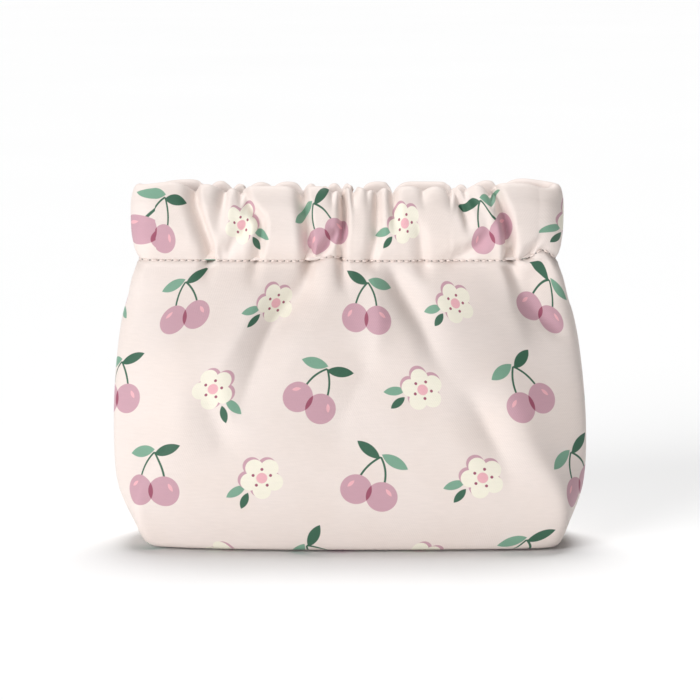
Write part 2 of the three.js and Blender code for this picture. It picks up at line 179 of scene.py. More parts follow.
# Puckers that lift the stitch line: x, height and half-width, and how far down the lift reaches, in mm
LIFTS = ((-5.4, 1.3, 3.0), (54.9, 3.0, 3.4))
LIFT_REACH = 14

# Cloth as it was cut: the round of the body in mm
CUT_ROUND = 312.0

# Grid of the cloth: columns of the front, of which the body takes every second one, height of a row of the
# walls in mm, rings of the base and rows of a casing
COLUMNS = 361
BODY_COLUMN_STEP = 2
BODY_ROW_STEP = 1.0
BASE_RINGS = 10
CASING_ROWS = 66

# Settling of the cloth: its rounds, how strongly the threads, the slants and the bends pull in each,
# and the share of a pull that a push has. LEAST_FREE keeps two held points from a division by zero.
SETTLE_ROUNDS = 160
SETTLE_PULL = 1.0
SETTLE_SHEAR = 0.15
SETTLE_STIFFNESS = 0.015
SETTLE_PUSH = 0.06
LEAST_FREE = 1e-9

# Extra length in mm that the rows take up towards the body's top, between two heights, and in the casings
BODY_FULLNESS = 2.0
BODY_FULL_FROM = 68
BODY_FULL_TO = 81
CASING_FULLNESS = 0.5

# Room in mm that the cloth keeps beside the spring, between two heights, and from the mouth's middle plane
SPRING_CLEARANCE = 0.95
SPRING_FROM = 85.8
SPRING_TO = 97.2
MOUTH_CLEARANCE = 0.35

# Stitches in mm: each takes a share of the pitch, arches out of the line and is thinner at its ends
STITCH_PITCH = 2.6
STITCH_SHARE = 0.66
STITCH_RADIUS = 0.24
STITCH_END_SHARE = 0.45
STITCH_ARCH = 0.22
STITCH_SINK = 0.02
STITCH_RAISE = 0.05
STITCH_SIDES = 7
STITCH_RINGS = 7

# Needle holes between the stitches: radius in mm, the shares of it where a hole starts and is full, painted
# shade
HOLE_RADIUS = 0.28
HOLE_STARTS = 1.4
HOLE_FULL = 0.6
HOLE_SHADE = 0.4

# Camera in metres, its sensor in mm: the photo is 700 px wide, 3.5 px per mm at the middle of the pouch
VIEW_WIDTH = 0.2
VIEW_DISTANCE = 0.9
VIEW_ELEVATION = math.radians(8)
VIEW_CENTRE = Vector((0, 0, 0.0551))
VIEW_FAR = 20
SENSOR_WIDTH = 36

# Lights: a broad one from above and behind, a weaker one from the front left, and an even white studio
STUDIO_LIGHT = 0.1
LIGHTS = {
    "top": {"energy": 2.6, "spread": math.radians(34), "towards": (-0.01, -0.32, -0.95)},
    "left": {"energy": 2.22, "spread": math.radians(34), "towards": (0.61, 0.74, -0.27)},
}

# Half the width of the floor in metres
STAGE_HALF = 30.0


def smooth(value, low, high):
    """A smooth step from 0 at low to 1 at high."""
    t = np.clip((np.asarray(value, float) - low) / (high - low), 0, 1)
    return t * t * (3 - 2 * t)


def bell(distance, width):
    return np.exp(-((distance / width) ** 2))


def curve_through(places, values, at):
    """A smooth curve through values at places, read at the places in at."""
    places, values, at = (np.asarray(a, float) for a in (places, values, at))
    slope = np.empty_like(values)
    slope[1:-1] = (values[2:] - values[:-2]) / (places[2:] - places[:-2])
    slope[0] = (values[1] - values[0]) / (places[1] - places[0])
    slope[-1] = (values[-1] - values[-2]) / (places[-1] - places[-2])
    i = np.clip(np.searchsorted(places, at) - 1, 0, len(places) - 2)
    span = places[i + 1] - places[i]
    t = (at - places[i]) / span
    return (
        values[i] * (1 + 2 * t) * (1 - t) ** 2
        + slope[i] * span * t * (1 - t) ** 2
        + values[i + 1] * t * t * (3 - 2 * t)
        + slope[i + 1] * span * t * t * (t - 1)
    )


def section(name, z):
    """A value of the body's sections at height z."""
    return float(curve_through(SECTIONS["z"], SECTIONS[name], z))


def along(points, share):
    """Points at the given shares of a polyline's length."""
    step = np.linalg.norm(np.diff(points, axis=0), axis=1)
    length = np.concatenate([[0], np.cumsum(step)])
    at = np.asarray(share) * length[-1]
    return np.stack([np.interp(at, length, column) for column in points.T], 1)


def mouth_points():
    """The mouth's slot as a fine closed polyline, from its left end round by the front."""
    centre = MOUTH_HALF_LENGTH - MOUTH_END_RADIUS
    turn = np.linspace(0, np.pi / 2, MOUTH_ARC_STEPS)[:-1]
    t = np.linspace(0, 1, MOUTH_SIDE_STEPS)[:-1]

    def arc(x, start):
        angle = start + turn
        return np.stack([x + MOUTH_END_RADIUS * np.cos(angle), MOUTH_END_RADIUS * np.sin(angle)], 1)

    front = np.stack([centre * (2 * t - 1), -MOUTH_END_RADIUS - 4 * MOUTH_BOW * t * (1 - t)], 1)
    front_half = [arc(-centre, np.pi), front, arc(centre, -np.pi / 2)]
    back_half = [arc(centre, 0), -front, arc(-centre, np.pi / 2)]
    points = np.concatenate(front_half + back_half)
    return np.vstack([points, points[:1]])


MOUTH = mouth_points()


def outward_of(points):
    """Unit normals of a line in plan that runs anticlockwise, pointing away from its inside."""
    run = np.gradient(points, axis=0)
    run /= np.linalg.norm(run, axis=1, keepdims=True)
    return np.stack([run[:, 1], -run[:, 0]], 1)


def path_depth(path, x, z):
    """How far one crease draws the cloth in, by the stretch of its path that is nearest."""
    nearest = np.full(x.shape, np.inf)
    drawn = np.zeros(x.shape)
    for start, end in zip(path, path[1:]):
        x0, z0, *at_start = start
        x1, z1, *at_end = end
        run_x, run_z = x1 - x0, z1 - z0
        length = math.hypot(run_x, run_z)
        t = np.clip(((x - x0) * run_x + (z - z0) * run_z) / length**2, 0, 1)
        depth, left, right = (a + (b - a) * t for a, b in zip(at_start, at_end))
        aside_x, aside_z = x - x0 - t * run_x, z - z0 - t * run_z
        away = np.hypot(aside_x, aside_z)
        side = (aside_z * run_x - aside_x * run_z) / (length * (away + CREASE_TURN))
        width = left + (right - left) * (0.5 + 0.5 * side)
        round_off = CREASE_ROUND / width
        fall = np.maximum(1 + round_off - np.hypot(away / width, round_off), 0) ** 2
        drawn = np.where(away < nearest, depth * fall, drawn)
        nearest = np.minimum(away, nearest)
    return drawn


def crease_depth(x, z):
    """How far the deepest crease, the highest ridge and the slopes draw the front's cloth in at x, z."""
    x, z = np.broadcast_arrays(np.asarray(x, float), np.asarray(z, float))
    casing = np.array([path_depth(path, x, z) for path in CASING_CREASES])
    on_body = 1 - smooth(z, *BODY_CREASE_FADE)
    body = np.array([path_depth(path, x, z) for path in BODY_CREASES]) * on_body
    slopes = sum(path_depth(path, x, z) for path in BODY_SLOPES) * on_body
    drawn = np.concatenate([casing, body])
    return drawn.max(0) + drawn.min(0) + slopes


def seam_lift(x):
    """How far the puckers lift the stitch line."""
    return sum(height * bell(x - at, width) for at, height, width in LIFTS)


def body_outline(z, share):
    """The plain outline of the body at height z, with no creases."""
    half_width, half_depth = section("half_width", z), section("half_depth", z)
    power, slot, corner = (section(name, z) for name in ("squareness", "slot", "corner"))
    angle = np.pi + np.linspace(0, 2 * np.pi, OUTLINE_STEPS + 1)
    c, s = np.cos(angle), np.sin(angle)
    side = np.abs(c) / half_width
    front = np.abs(s) / half_depth
    slant = (1 - corner) / (1 - SIDE_SHARE)
    facet = (side + slant * front) / (corner + slant)
    reach = (side**power + facet**power + front**power) ** (-1 / power)
    ring = np.stack([c, s], 1) * reach[:, None]
    ring[:, 1] *= 1 - FRONT_BOW * (ring[:, 0] / half_width) ** 2
    boxed = along(ring, share)
    stretch = [half_width / MOUTH_HALF_LENGTH, half_depth / (MOUTH_END_RADIUS + MOUTH_BOW)]
    flat = along(MOUTH, share) * stretch
    return boxed + slot * (flat - boxed) + [section("lean", z), 0]


def mouth_outline(_, share):
    """The mouth's slot, which is the same at every height."""
    return along(MOUTH, share) + [MOUTH_LEAN, 0]


def half_frame(outline, z, share):
    """Points of half an outline and the directions outward from it."""
    run = outline(z, (share + DIRECTION_STEP) % 1) - outline(z, (share - DIRECTION_STEP) % 1)
    run /= np.linalg.norm(run, axis=1, keepdims=True)
    return outline(z, share), np.stack([run[:, 1], -run[:, 0]], 1)


def body_rows(levels, share):
    """Rows of the body's front at levels, each a height and an inset from the wall."""
    rows = []
    for z, inset in levels:
        plan, outward = half_frame(body_outline, z, share)
        facing = np.abs(outward[:, 1])
        half_width, half_depth = section("half_width", z), section("half_depth", z)
        drawn_in = 1 - crease_depth(plan[:, 0], z) / half_depth
        middle = np.array([section("lean", z), 0])
        plan = middle + (plan - middle) * [1 - inset / half_width, 1 - inset / half_depth]
        lift = seam_lift(plan[:, 0]) * facing * (1 - smooth(SEAM_Z - z, 0, LIFT_REACH))
        rows.append(np.column_stack([plan[:, 0], plan[:, 1] * drawn_in, z + lift]))
    return rows


def casing_rows(share):
    """Rows of the front casing from the stitch line up its outer face, over the lip and down to the hem."""
    plan, outward = half_frame(mouth_outline, 0, share)
    facing = np.abs(outward[:, 1])
    x = plan[:, 0]
    knots = np.column_stack([np.array(CASING_PROFILE["rise"]) * (LIP_Z - SEAM_Z), CASING_PROFILE["offset"]])
    gone = np.concatenate([[0], np.cumsum(np.linalg.norm(np.diff(knots, axis=0), axis=1))])
    at = np.linspace(0, gone[-1], CASING_ROWS)
    rise, offset, taken = (curve_through(gone, CASING_PROFILE[n], at) for n in ("rise", "offset", "share"))
    rise = np.clip(rise, 0, 1)
    top = int(np.argmax(rise))
    at_lip = crease_depth(x, LIP_Z)
    low = SEAM_Z + seam_lift(x) * facing
    from_middle = np.abs(x - MOUTH_LEAN)
    ends = END_DROP * smooth(from_middle, *END_FROM_TO)
    sag = LIP_SAG * (1 - smooth(from_middle, *SAG_FROM_TO))
    high = LIP_Z - ends - sag - LIP_DIP * at_lip * facing
    rows = []
    for i, (r, o, k) in enumerate(zip(rise, offset, taken)):
        z = low + (high - low) * r
        draw = at_lip * k
        if i <= top:
            draw = crease_depth(x, z) * k
            puff = CASING_PUFF * smooth(r, 0, PUFF_FULL_FROM) * (1 - smooth(r, PUFF_LESS_FROM, 1))
            o = o + puff * facing
        rows.append(np.column_stack([plan + outward * (o - draw * facing)[:, None], z]))
    return rows, top


def front_cloth():
    """The whole front from the foot to the hem, row by row, and the rows of its stitch line and its lip."""
    share = np.linspace(0, 0.5, COLUMNS)
    levels = list(zip(FOOT["z"], FOOT["inset"]))
    foot_top = FOOT["z"][-1]
    walls = np.linspace(foot_top, SEAM_Z, int((SEAM_Z - foot_top) / BODY_ROW_STEP) + 1)
    levels += [(z, 0) for z in walls[1:-1]]
    casing, top = casing_rows(share)
    return np.array(body_rows(levels, share) + casing), len(levels), len(levels) + top


def drawn_together(a, b, free_a, free_b, length, stiffness):
    """How two sets of points move to come to the wanted lengths apart."""
    run = b - a
    apart = np.linalg.norm(run, axis=-1)
    pull = stiffness * (apart - length) / (apart * np.maximum(free_a + free_b, LEAST_FREE))
    pull = np.where(pull > 0, pull, pull * SETTLE_PUSH)
    return run * (pull * free_a)[..., None], -run * (pull * free_b)[..., None]


def flat_bend(points):
    """How far each point is off the middle of its neighbours along and across."""
    off = np.zeros_like(points)
    off[:, 1:-1] += 0.5 * (points[:, 2:] + points[:, :-2]) - points[:, 1:-1]
    off[1:-1] += 0.5 * (points[2:] + points[:-2]) - points[1:-1]
    return off


def settle(rows, seam, lip):
    """Lets the cloth take up its fullness: threads come to their lengths, and the cloth resists bending."""
    count = len(rows)
    across = np.linalg.norm(np.diff(rows, axis=1), axis=2)
    up = np.linalg.norm(np.diff(rows, axis=0), axis=2)
    extra = BODY_FULLNESS * smooth(rows[:, COLUMNS // 2, 2], BODY_FULL_FROM, BODY_FULL_TO)
    extra[seam + 1 :] += CASING_FULLNESS
    across *= (1 + extra / across.sum(1))[:, None]
    slant = np.hypot(across[:-1], up[:, 1:])
    free = np.ones((count, COLUMNS))
    free[: len(FOOT["z"])] = free[seam] = free[-1] = 0
    free[:, 0] = free[:, -1] = 0
    spring_x, spring_y = mouth_outline(0, np.linspace(0, 0.5, COLUMNS)).T
    points = rows.copy()

    def by_spring(at):
        level = (at[..., 2] > SPRING_FROM) & (at[..., 2] < SPRING_TO)
        return level & (np.abs(at[..., 0] - MOUTH_LEAN) < MOUTH_HALF_LENGTH)

    def tie(a, b, length, stiffness):
        move_a, move_b = drawn_together(points[a], points[b], free[a], free[b], length, stiffness)
        points[a] += move_a
        points[b] += move_b

    for _ in range(SETTLE_ROUNDS):
        for first in (0, 1):
            last = COLUMNS - 1 - (COLUMNS - 1 - first) % 2
            left, right = np.s_[:, first:last:2], np.s_[:, first + 1 : last + 1 : 2]
            tie(left, right, across[left], SETTLE_PULL)
        for first in (0, 1):
            last = count - 1 - (count - 1 - first) % 2
            lower, upper = slice(first, last, 2), slice(first + 1, last + 1, 2)
            tie(np.s_[lower], np.s_[upper], up[lower], SETTLE_PULL)
            tie(np.s_[lower, :-1], np.s_[upper, 1:], slant[lower], SETTLE_SHEAR)
            tie(np.s_[lower, 1:], np.s_[upper, :-1], slant[lower], SETTLE_SHEAR)
        points -= SETTLE_STIFFNESS * flat_bend(flat_bend(points)) * free[..., None]
        outer, inner = points[seam + 1 : lip], points[lip + 1 : -1]
        beside = np.interp(outer[..., 0], spring_x, spring_y) - SPRING_CLEARANCE
        outer[..., 1] = np.where(by_spring(outer), np.minimum(outer[..., 1], beside), outer[..., 1])
        beside = np.interp(inner[..., 0], spring_x, spring_y) + SPRING_CLEARANCE
        inner[..., 1] = np.where(by_spring(inner), np.maximum(inner[..., 1], beside), inner[..., 1])
        between_ends = inner[:, 1:-1, 1]
        between_ends[:] = np.minimum(between_ends, -MOUTH_CLEARANCE)
    return points


def turned_round(rows, leans):
    """The back, which repeats the front turned half round."""
    back = rows * [-1, -1, 1]
    back[:, :, 0] += 2 * leans[:, None]
    return back


def grid_faces(rows, columns, closed):
    """Quads of a grid of points, row by row, each row joined end to end where closed is true."""
    last = columns if closed else columns - 1
    r, c = np.meshgrid(np.arange(rows - 1), np.arange(last), indexing="ij")
    n = (c + 1) % columns
    quads = np.stack([r * columns + c, r * columns + n, (r + 1) * columns + n, (r + 1) * columns + c], -1)
    return quads.reshape(-1, 4)


def grid_corners(rows, columns, closed, u, v):
    """Pattern coordinates of each quad's corners, where u has one more column than a closed grid."""
    last = columns if closed else columns - 1
    r, c = np.meshgrid(np.arange(rows - 1), np.arange(last), indexing="ij")
    at = [(r, c), (r, c + 1), (r + 1, c + 1), (r + 1, c)]
    return np.stack([np.stack([u[a], v[a]], -1) for a in at], -2).reshape(-1, 2)


def new_piece(name, points, faces, corners, materials):
    """A piece from points in mm, with the place on the flat cloth of each face's corners."""
    mesh = bpy.data.meshes.new(name)
    mesh.from_pydata((np.asarray(points) * MM).tolist(), [], [list(f) for f in faces])
    layer = mesh.uv_layers.new(name="cloth")
    layer.uv.foreach_set("vector", np.asarray(corners, np.float32).ravel())
    for material in materials:
        mesh.materials.append(material)
    mesh.shade_smooth()
    piece = bpy.data.objects.new(name, mesh)
    bpy.context.scene.collection.objects.link(piece)
    return piece


def thicken(piece, thickness):
    """Gives the cloth its thickness inwards, with the second material on its inside."""
    solid = piece.modifiers.new("thickness", "SOLIDIFY")
    solid.thickness = thickness * MM
    solid.offset = -1
    solid.material_offset = 1
    solid.material_offset_rim = 0
    solid.use_even_offset = False
    return piece


def column_measure(points):
    """Mean length up the grid to each row."""
    step = np.linalg.norm(np.diff(points, axis=0), axis=2).mean(1)
    return np.concatenate([[0], np.cumsum(step)])


def body_piece(front, back, u, v, materials):
    """Walls and base of the bag, from the rows of its front and back."""
    rings = np.concatenate([front[:, :-1], back[:, :-1]], 1)
    columns = rings.shape[1]
    round_u = np.concatenate([u[:, :-1], u + u[:, -1:]], 1)
    round_v = np.repeat(v[:, :1], columns + 1, 1)
    walls = grid_faces(len(rings), columns, True)
    corners = grid_corners(len(rings), columns, True, round_u, round_v)
    edge = rings[0]
    middle = edge.mean(0)
    shares = 1 - np.arange(1, BASE_RINGS) / BASE_RINGS
    inner = np.array([middle + (edge - middle) * share for share in shares])
    points = np.concatenate([rings.reshape(-1, 3), inner.reshape(-1, 3), middle[None]])
    place = np.concatenate([np.arange(columns), rings.size // 3 + np.arange(inner.size // 3)])
    base = place[grid_faces(BASE_RINGS, columns, True)][:, ::-1]
    c = np.arange(columns)
    last = len(points) - 1 - columns
    fan = np.stack([last + (c + 1) % columns, last + c, np.full_like(c, len(points) - 1)], 1)
    plan = points[:, :2]
    corners = np.concatenate([corners, plan[base.ravel()], plan[fan.ravel()]])
    faces = [*walls.tolist(), *base.tolist(), *fan.tolist()]
    return thicken(new_piece("body_cloth", points, faces, corners, materials), CLOTH)


def casing_piece(name, rows, u, v, materials):
    """A casing, from its rows."""
    faces = grid_faces(len(rows), COLUMNS, False)
    corners = grid_corners(len(rows), COLUMNS, False, u, v)
    return thicken(new_piece(name, rows.reshape(-1, 3), faces.tolist(), corners, materials), CASING_CLOTH)


def stitch_piece(lines, material):
    """Thread stitches along the stitch line, each a short arched tube."""
    turn = np.linspace(0, 2 * np.pi, STITCH_SIDES, endpoint=False)
    t = np.linspace(0, 1, STITCH_RINGS)
    arch = 4 * t * (1 - t)
    radius = STITCH_RADIUS * (STITCH_END_SHARE + (1 - STITCH_END_SHARE) * np.sqrt(arch))
    points, faces = [], []
    for line, u in lines:
        count = int((u[-1] - u[0]) / STITCH_PITCH)
        plan_out = outward_of(line[:, :2])
        for i in range(count):
            middle = u[0] + (i + 0.5) * STITCH_PITCH
            at = middle + (t - 0.5) * STITCH_PITCH * STITCH_SHARE
            path = np.stack([np.interp(at, u, line[:, k]) for k in range(3)], 1)
            out = np.stack([np.interp(at, u, plan_out[:, k]) for k in range(2)], 1)
            out = np.column_stack([out, np.zeros(STITCH_RINGS)])
            path = path + out * (STITCH_ARCH * arch - STITCH_SINK)[:, None]
            path[:, 2] += STITCH_RAISE
            ahead = np.gradient(path, axis=0)
            ahead /= np.linalg.norm(ahead, axis=1, keepdims=True)
            side = np.cross(ahead, out)
            ring = path[:, None] + radius[:, None, None] * (
                out[:, None] * np.cos(turn)[None, :, None] + side[:, None] * np.sin(turn)[None, :, None]
            )
            first = sum(len(p) for p in points)
            points.append(ring.reshape(-1, 3))
            tube = grid_faces(STITCH_RINGS, STITCH_SIDES, True) + first
            faces += tube.tolist()
            cap = np.arange(STITCH_SIDES)
            faces.append((first + cap[::-1]).tolist())
            faces.append((first + (STITCH_RINGS - 1) * STITCH_SIDES + cap).tolist())
    points = np.concatenate(points)
    corners = np.zeros((sum(len(f) for f in faces), 2))
    return new_piece("casing_stitches", points, faces, corners, [material])


class Graph:
    """Short calls that build a material's node tree."""

    def __init__(self, name):
        self.material = bpy.data.materials.new(name)
        self.material.use_nodes = True
        self.tree = self.material.node_tree
        self.shader = self.tree.nodes["Principled BSDF"]

    def node(self, kind, **settings):
        node = self.tree.nodes.new(kind)
        for key, value in settings.items():
            setattr(node, key, value)
        return node

    def feed(self, socket, value):
        if isinstance(value, bpy.types.NodeSocket):
            self.tree.links.new(value, socket)
        else:
            socket.default_value = value

    def math(self, operation, *values):
        node = self.node("ShaderNodeMath", operation=operation)
        for socket, value in zip(node.inputs, values):
            self.feed(socket, value)
        return node.outputs[0]

    def vector(self, operation, *values):
        node = self.node("ShaderNodeVectorMath", operation=operation)
        for socket, value in zip(node.inputs, values):
            self.feed(socket, value)
        return node.outputs["Value" if operation in ("LENGTH", "DISTANCE") else "Vector"]

    def scaled(self, vector, amount):
        node = self.node("ShaderNodeVectorMath", operation="SCALE")
        self.feed(node.inputs["Vector"], vector)
        self.feed(node.inputs["Scale"], amount)
        return node.outputs["Vector"]

    def xyz(self, x, y, z=0.0):
        node = self.node("ShaderNodeCombineXYZ")
        for socket, value in zip(node.inputs, (x, y, z)):
            self.feed(socket, value)
        return node.outputs[0]

    def split(self, vector):
        node = self.node("ShaderNodeSeparateXYZ")
        self.feed(node.inputs[0], vector)
        return node.outputs

    def ramp(self, value, low, high, to_low=0.0, to_high=1.0, kind="SMOOTHSTEP"):
        node = self.node("ShaderNodeMapRange", interpolation_type=kind)
        ends = {"From Min": low, "From Max": high, "To Min": to_low, "To Max": to_high}
        self.feed(node.inputs["Value"], value)
        for key, end in ends.items():
            self.feed(node.inputs[key], end)
        return node.outputs[0]

    def mix(self, factor, low, high):
        node = self.node("ShaderNodeMix", data_type="RGBA")
        self.feed(node.inputs["Factor"], factor)
        self.feed(node.inputs["A"], low)
        self.feed(node.inputs["B"], high)
        return node.outputs["Result"]

    def noise(self, vector, scale, detail=2.0):
        node = self.node("ShaderNodeTexNoise")
        self.feed(node.inputs["Vector"], vector)
        self.feed(node.inputs["Scale"], scale)
        self.feed(node.inputs["Detail"], detail)
        return node.outputs[0]


def rgb(code):
    """A colour given as it looks on screen, turned by the sRGB formula into the shader's linear one."""
    levels = [int(code[i : i + 2], 16) / 255 for i in (0, 2, 4)]
    return (*[x / 12.92 if x <= 0.04045 else ((x + 0.055) / 1.055) ** 2.4 for x in levels], 1.0)


# Inks of the print, and the darker ground that clouds it faintly
GROUND = rgb("ECE0DA")
GROUND_CLOUD = rgb("EADDD6")
MAUVE = rgb("C99FAB")
ROSE = rgb("9C5268")
PINK = rgb("EBB3BB")
CREAM = rgb("F2EDDD")
GREEN = rgb("3B6550")
SAGE = rgb("7CA68F")

# Other colours, each a darker and a lighter one
INSIDE = (rgb("EBDDD6"), rgb("F0E4DD"))
THREAD = (rgb("E2D0C8"), rgb("F6EAE4"))
STEEL = (rgb("AEB1B5"), rgb("C8CACD"))
STAGE = (rgb("F8F8F8"), rgb("FBFBFB"))

# Pattern: one sprig or blossom in each cell of a brick layout in mm, turned within a range in radians.
# EDGE is half the width of the soft edge of an ink.
CELL_WIDTH = 30.0
CELL_HEIGHT = 25.0
PATTERN_SHIFT = (6.0, 4.0)
SPIN_RANGE = 1.3
EDGE = 0.09

# Leaves of the motifs and the highlights of the cherries: centre, turn in degrees, length, width and ink
BLOSSOM_LEAVES = (
    ((6.6, -4.6), -38, 6.4, 2.5, SAGE),
    ((4.2, -7.0), -70, 5.2, 2.1, GREEN),
)
SPRIG_LEAVES = (
    ((-5.5, -2.4), 52, 2.6, 1.0, PINK),
    ((5.0, -3.4), -45, 2.6, 1.0, PINK),
    ((5.4, 5.6), -22, 8.2, 3.2, SAGE),
    ((-2.2, 7.9), 150, 8.0, 3.0, GREEN),
)

# Rings of discs in a blossom, the lowest first: place of the middle, distance from it, radius, turn and ink
PETALS = 5
BLOSSOM_RINGS = (
    ((0.75, 0.55), 3.5, 2.55, 12, MAUVE),
    ((0, 0), 3.5, 2.5, 12, CREAM),
    ((0, 0), 2.5, 0.42, 48, ROSE),
)
BLOSSOM_EYE = 1.5

# Cherries of a sprig, and its stems: where each starts and how far it bends
CHERRIES = ((-3.9, -3.8), (3.3, -4.9))
CHERRY_RADIUS = 4.3
STEMS = (((-3.6, -0.6), 0.7), ((3.4, -1.6), -0.8))
STEMS_MEET = (1.4, 6.4)
STEM_WIDTH = 0.6

# Weave in mm: pitch, slant and share of the warp and the weft, heights of the threads and slubs
WARP = {"pitch": 0.62, "slant": 0.55, "share": 0.6}
WEFT = {"pitch": 0.5, "slant": 0.3, "share": 0.4}
THREAD_HEIGHT = 0.018
SLUB_HEIGHT = 0.05
SLUB_SCALE = (0.25, 1.6, 0)
SLUB_DETAIL = 3.0
OUTSIDE_BUMP = 0.5
INSIDE_BUMP = 0.6

# Shine of the cloth, and how far slubs and threads lighten and darken the print
CLOTH_ROUGHNESS = (0.52, 0.64)
CLOTH_SPECULAR = 0.32
CLOTH_SHEEN = 0.12
CLOTH_SHEEN_ROUGHNESS = 0.4
SLUB_SHADE_FROM = (0.25, 0.75)
SLUB_SHADE = (0.975, 1.015)
THREAD_SHADE = 0.008
CLOUD_SCALE = 0.05

# Stretch of a noise's values that is spread over a colour or a roughness
NOISE_MIDDLE = (0.3, 0.7)

# Grain and shine of the thread, the spring and the floor
TWIST_SCALE = 2500.0
THREAD_ROUGHNESS = 0.6
BRUSH_SCALE = (20, 20, 900)
BRUSH_DETAIL = 3.0
STEEL_ROUGHNESS = (0.28, 0.42)
STAGE_SCALE = 3.0
STAGE_ROUGHNESS = 0.8
STAGE_SPECULAR = 0.1


def disc(g, place, centre, radius):
    """1 inside a disc, 0 outside."""
    away = g.vector("DISTANCE", place, (*centre, 0))
    return g.ramp(away, radius + EDGE, radius - EDGE)


def turned(g, place, centre, degrees):
    """place as seen from a centre, turned."""
    node = g.node("ShaderNodeMapping", vector_type="TEXTURE")
    g.feed(node.inputs["Vector"], place)
    node.inputs["Location"].default_value = (*centre, 0)
    node.inputs["Rotation"].default_value = (0, 0, math.radians(degrees))
    return node.outputs[0]


def leaf(g, place, centre, degrees, length, width):
    """A pointed leaf: what two equal discs have in common."""
    local = turned(g, place, centre, degrees)
    radius = (length * length / 4 + width * width / 4) / width
    off = radius - width / 2
    above = g.vector("DISTANCE", local, (0, off, 0))
    below = g.vector("DISTANCE", local, (0, -off, 0))
    far = g.math("MAXIMUM", above, below)
    return g.ramp(far, radius + EDGE, radius - EDGE)


def stem(g, place, start, end, bend, width):
    """A thin bent stroke from start to end."""
    run = Vector(end) - Vector(start)
    local = turned(g, place, start, math.degrees(math.atan2(run.y, run.x)))
    x, y, _ = g.split(local)
    rise = g.math("MULTIPLY", x, g.math("SUBTRACT", run.length, x))
    curve = g.math("MULTIPLY", rise, 4 * bend / run.length_squared)
    off = g.math("ABSOLUTE", g.math("SUBTRACT", y, curve))
    beyond = g.math("ABSOLUTE", g.math("SUBTRACT", x, run.length / 2))
    body = g.ramp(off, width / 2 + EDGE, width / 2 - EDGE)
    return g.math("MULTIPLY", body, g.ramp(beyond, run.length / 2 + EDGE, run.length / 2 - EDGE))


def petals(g, place, radius, size, turn):
    """A ring of discs about the middle, such as round petals."""
    x, y, _ = g.split(turned(g, place, (0, 0), turn))
    sector = 2 * math.pi / PETALS
    angle = g.math("ARCTAN2", y, x)
    folded = g.math("SUBTRACT", g.math("FLOORED_MODULO", angle, sector), sector / 2)
    length = g.vector("LENGTH", g.xyz(x, y))
    ahead = g.math("MULTIPLY", length, g.math("COSINE", folded))
    aside = g.math("MULTIPLY", length, g.math("SINE", folded))
    return disc(g, g.xyz(ahead, aside), (radius, 0), size)


def pattern(g, place, ground):
    """Cherry sprigs and blossoms tossed over the ground colour. place is in mm of cloth."""
    u, v, _ = g.split(g.vector("ADD", place, (*PATTERN_SHIFT, 0)))
    across, up = g.math("DIVIDE", u, CELL_WIDTH), g.math("DIVIDE", v, CELL_HEIGHT)
    row = g.math("FLOOR", up)
    shifted = g.math("ADD", across, g.math("MULTIPLY", g.math("FLOORED_MODULO", row, 2.0), 0.5))
    column = g.math("FLOOR", shifted)
    dice = g.node("ShaderNodeTexWhiteNoise", noise_dimensions="2D")
    g.feed(dice.inputs["Vector"], g.xyz(column, row))
    chance, chance2, _ = g.split(dice.outputs["Color"])
    local = g.xyz(
        g.math("MULTIPLY", g.math("SUBTRACT", g.math("FRACT", shifted), 0.5), CELL_WIDTH),
        g.math("MULTIPLY", g.math("SUBTRACT", g.math("FRACT", up), 0.5), CELL_HEIGHT),
    )
    spin = g.node("ShaderNodeVectorRotate", rotation_type="Z_AXIS")
    g.feed(spin.inputs["Vector"], local)
    g.feed(spin.inputs["Angle"], g.math("MULTIPLY", g.math("SUBTRACT", chance, 0.5), SPIN_RANGE))
    flip = g.math("SUBTRACT", g.math("MULTIPLY", g.math("ROUND", chance2), 2.0), 1.0)
    at = g.vector("MULTIPLY", spin.outputs[0], g.xyz(flip, 1.0, 1.0))
    blossom = g.math("FLOORED_MODULO", g.math("ADD", column, row), 2.0)
    sprig = g.math("SUBTRACT", 1.0, blossom)

    colour = ground

    def lay(which, mask, ink):
        nonlocal colour
        colour = g.mix(g.math("MULTIPLY", which, mask), colour, ink)

    for centre, turn, length, width, ink in BLOSSOM_LEAVES:
        lay(blossom, leaf(g, at, centre, turn, length, width), ink)
    for middle, distance, radius, turn, ink in BLOSSOM_RINGS:
        lay(blossom, petals(g, g.vector("SUBTRACT", at, (*middle, 0)), distance, radius, turn), ink)
    lay(blossom, disc(g, at, (0, 0), BLOSSOM_EYE), PINK)

    for start, bend in STEMS:
        lay(sprig, stem(g, at, start, STEMS_MEET, bend, STEM_WIDTH), GREEN)
    left, right = (disc(g, at, centre, CHERRY_RADIUS) for centre in CHERRIES)
    lay(sprig, left, MAUVE)
    lay(sprig, right, MAUVE)
    lay(sprig, g.math("MULTIPLY", left, right), ROSE)
    for centre, turn, length, width, ink in SPRIG_LEAVES:
        lay(sprig, leaf(g, at, centre, turn, length, width), ink)
    return colour


def thread_waves(g, place, kind):
    """Waves of one set of parallel threads, where place is measured across them in mm."""
    wave = g.math("SINE", g.math("MULTIPLY", place, 2 * math.pi / kind["pitch"]))
    return g.math("MULTIPLY", wave, kind["share"])


